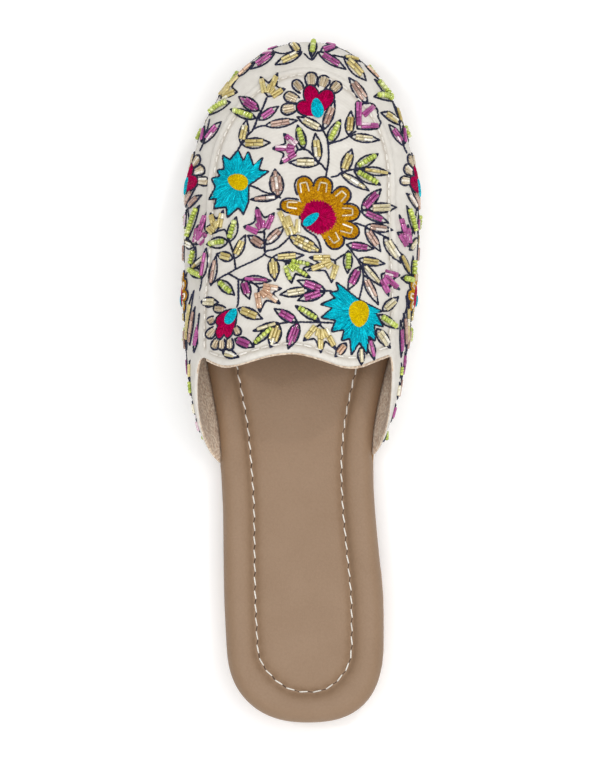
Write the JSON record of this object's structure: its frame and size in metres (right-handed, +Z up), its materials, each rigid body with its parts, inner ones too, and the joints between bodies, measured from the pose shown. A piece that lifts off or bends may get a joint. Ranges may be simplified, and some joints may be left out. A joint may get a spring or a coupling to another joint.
{
  "type": "mojari mule",
  "caption": "Open-backed mojari mule with an embroidered and beaded cloth front, a padded stitched footbed and a thin flat sole.",
  "frame": {"origin": "middle of the shoe's box, on the floor it stands on", "axes": "+X to the inner side of the foot, +Y from heel to toe, +Z up from the floor"},
  "size_m": [0.0869, 0.2546, 0.0623],
  "materials": {
    "sole_leather": "tan sole leather, cut edge, lightly waxed",
    "footbed_leatherette": "fine-grained matt brown leatherette over foam",
    "cream_cloth": "cream raw-silk weave, suede-lined",
    "gold_thread": "satin-stitched lustrous thread",
    "turquoise_thread": "satin-stitched lustrous thread",
    "crimson_thread": "satin-stitched lustrous thread with champagne glass beads"
  },
  "bodies": {
    "root": {"outsole": "sole_leather", "footbed": "footbed_leatherette", "upper": "cream_cloth", "apron": "cream_cloth", "flower_gold": "gold_thread", "flower_blue_toe": "turquoise_thread", "flower_blue_throat": "turquoise_thread", "flower_red_toe": "crimson_thread", "flower_red_throat": "crimson_thread"}
  },
  "joints": []
}
